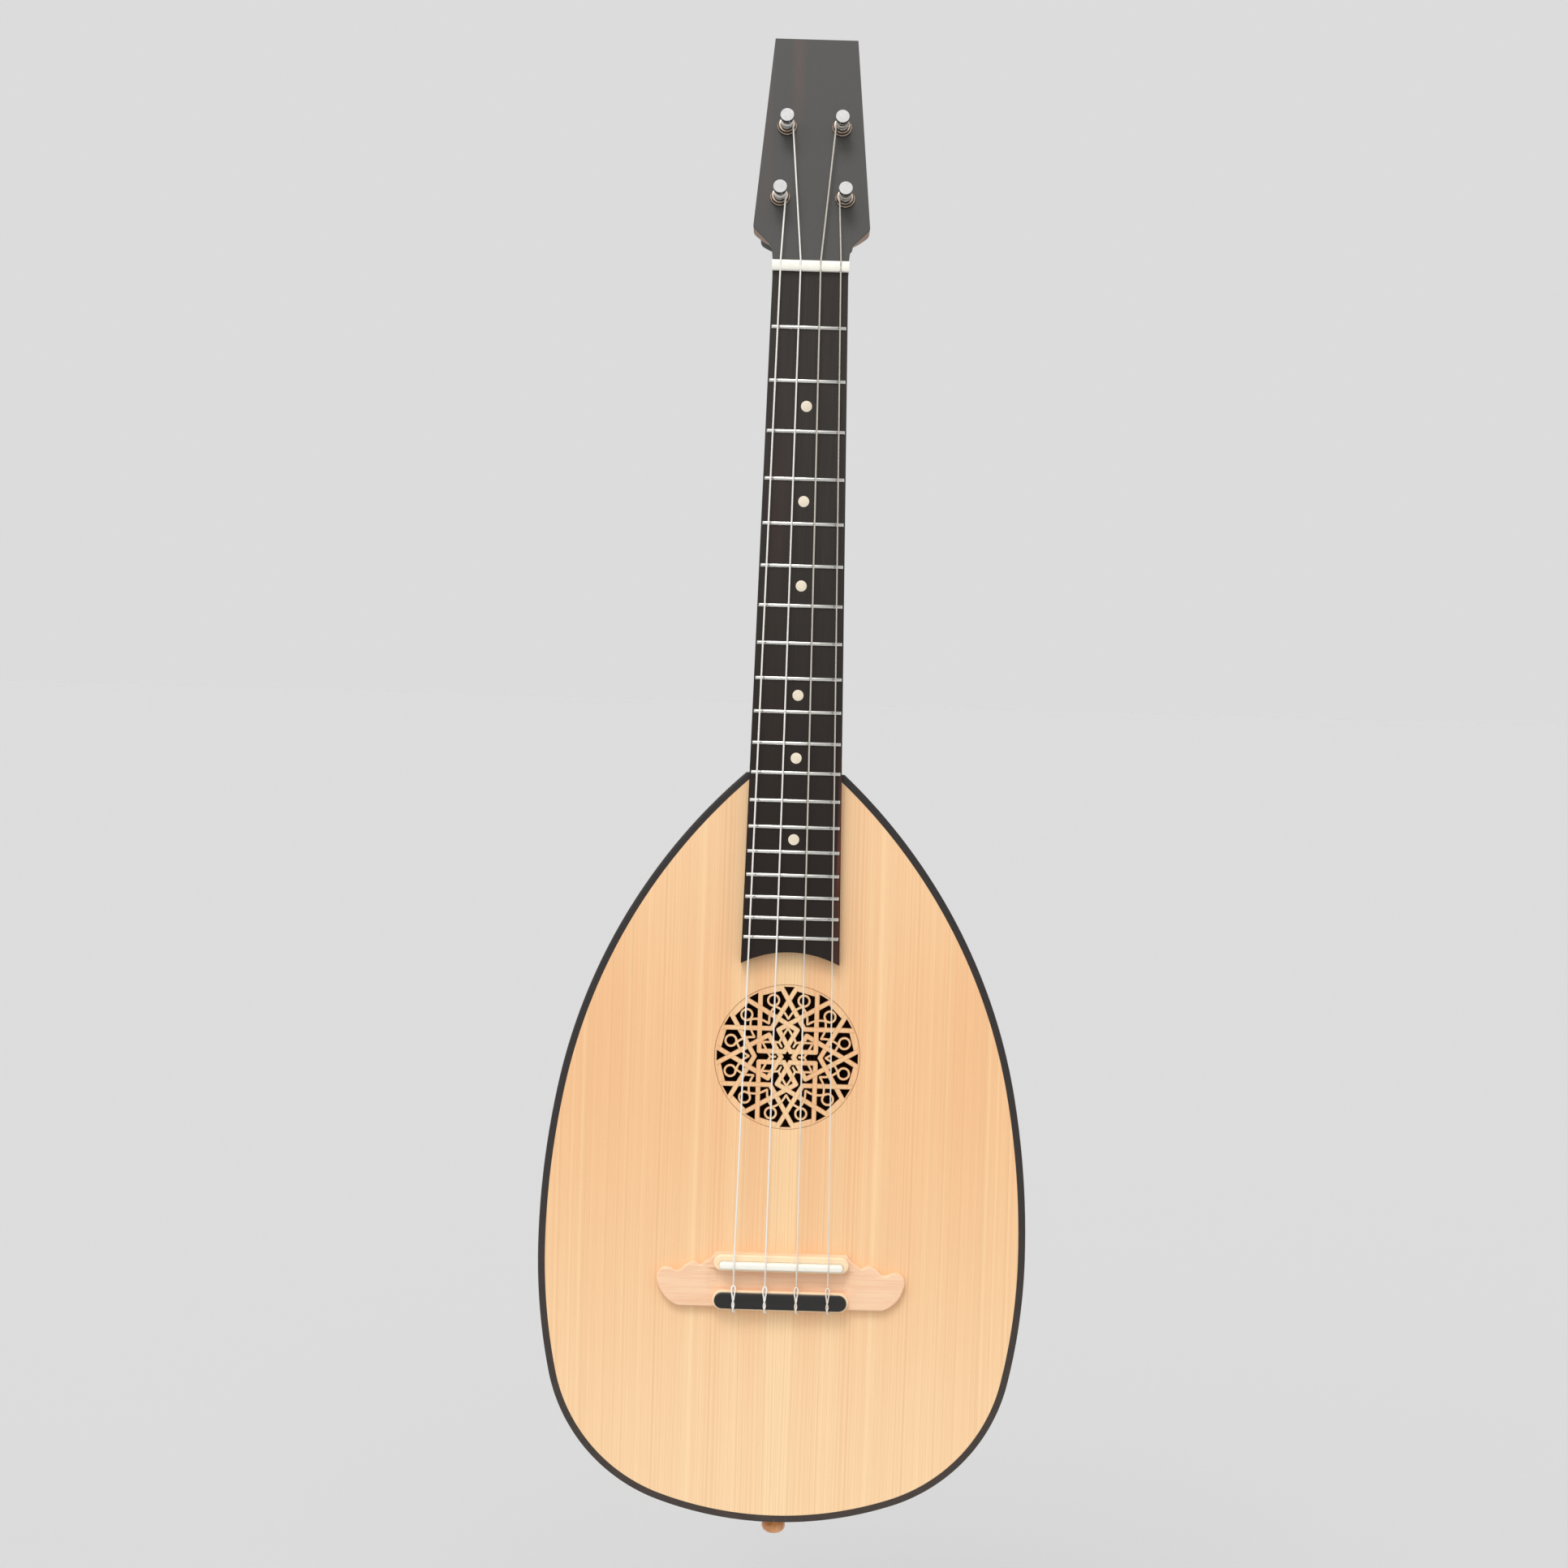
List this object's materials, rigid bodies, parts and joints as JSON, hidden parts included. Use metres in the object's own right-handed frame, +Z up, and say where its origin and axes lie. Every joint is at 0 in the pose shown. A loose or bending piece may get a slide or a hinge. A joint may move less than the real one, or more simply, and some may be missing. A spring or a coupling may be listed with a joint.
{
  "type": "baritone ukulele with a lute body",
  "caption": "Fretted lute-bodied baritone ukulele: ribbed bowl back, spruce top with a cut rose, scalloped bridge, tilted headstock with friction pegs.",
  "frame": {"origin": "on the neck's axis between the headstock's shoulders, where a wall hanger's yoke holds the neck", "axes": "+Z up the neck, strings face -Y, +X to the right seen from the front"},
  "size_m": [0.253, 0.1253, 0.7841],
  "materials": {
    "top_spruce": "satin",
    "inner_spruce": "raw",
    "rib_wood": "gloss",
    "neck_wood": "satin",
    "edging": "satin",
    "veneer_wood": "satin",
    "fretboard_wood": "satin",
    "bone": "polished",
    "bridge_wood": "satin",
    "tie_bar": "satin",
    "pin_wood": "gloss",
    "chrome": "polished",
    "peg_black": "gloss",
    "string_wound": "satin",
    "string_clear": "clear"
  },
  "bodies": {
    "instrument": {"rib_01": "rib_wood", "rib_02": "rib_wood", "rib_03": "rib_wood", "rib_04": "rib_wood", "rib_05": "rib_wood", "rib_06": "rib_wood", "rib_07": "rib_wood", "rib_08": "rib_wood", "rib_09": "rib_wood", "rib_10": "rib_wood", "rib_11": "rib_wood", "tail_cap": "rib_wood", "edging_left": "edging", "edging_right": "edging", "lining_left": "inner_spruce", "lining_right": "inner_spruce", "neck_block": "inner_spruce", "tail_block": "inner_spruce", "brace_upper": "inner_spruce", "brace_middle": "inner_spruce", "brace_lower": "inner_spruce", "soundboard": "top_spruce", "rose": "top_spruce", "bridge": "bridge_wood", "saddle": "bone", "nut": "bone", "tie_bar": "tie_bar", "end_pin": "pin_wood", "neck": "neck_wood", "fretboard": "fretboard_wood", "headstock_veneer": "veneer_wood", "peg_ferrule_4": "chrome", "peg_cup_4": "peg_black", "string_4": "string_wound", "peg_ferrule_3": "chrome", "peg_cup_3": "peg_black", "string_3": "string_wound", "peg_ferrule_2": "chrome", "peg_cup_2": "peg_black", "string_2": "string_clear", "peg_ferrule_1": "chrome", "peg_cup_1": "peg_black", "string_1": "string_clear"},
    "peg_4": {"peg_post_4": "chrome", "peg_button_4": "peg_black", "peg_screw_4": "chrome", "winding_4": "string_wound"},
    "peg_3": {"peg_post_3": "chrome", "peg_button_3": "peg_black", "peg_screw_3": "chrome", "winding_3": "string_wound"},
    "peg_2": {"peg_post_2": "chrome", "peg_button_2": "peg_black", "peg_screw_2": "chrome", "winding_2": "string_clear"},
    "peg_1": {"peg_post_1": "chrome", "peg_button_1": "peg_black", "peg_screw_1": "chrome", "winding_1": "string_clear"}
  },
  "joints": [
    {"name": "peg_4_turn", "type": "hinge", "parent": "instrument", "child": "peg_4", "pos_m": [-0.0166, 0.00001, 0.02434], "axis": [0, -0.9744, 0.225], "continuous": true},
    {"name": "peg_3_turn", "type": "hinge", "parent": "instrument", "child": "peg_3", "pos_m": [-0.0141, 0.00872, 0.06205], "axis": [0, -0.9744, 0.225], "continuous": true},
    {"name": "peg_2_turn", "type": "hinge", "parent": "instrument", "child": "peg_2", "pos_m": [0.0141, 0.00872, 0.06205], "axis": [0, -0.9744, 0.225], "continuous": true},
    {"name": "peg_1_turn", "type": "hinge", "parent": "instrument", "child": "peg_1", "pos_m": [0.0166, 0.00001, 0.02434], "axis": [0, -0.9744, 0.225], "continuous": true}
  ]
}
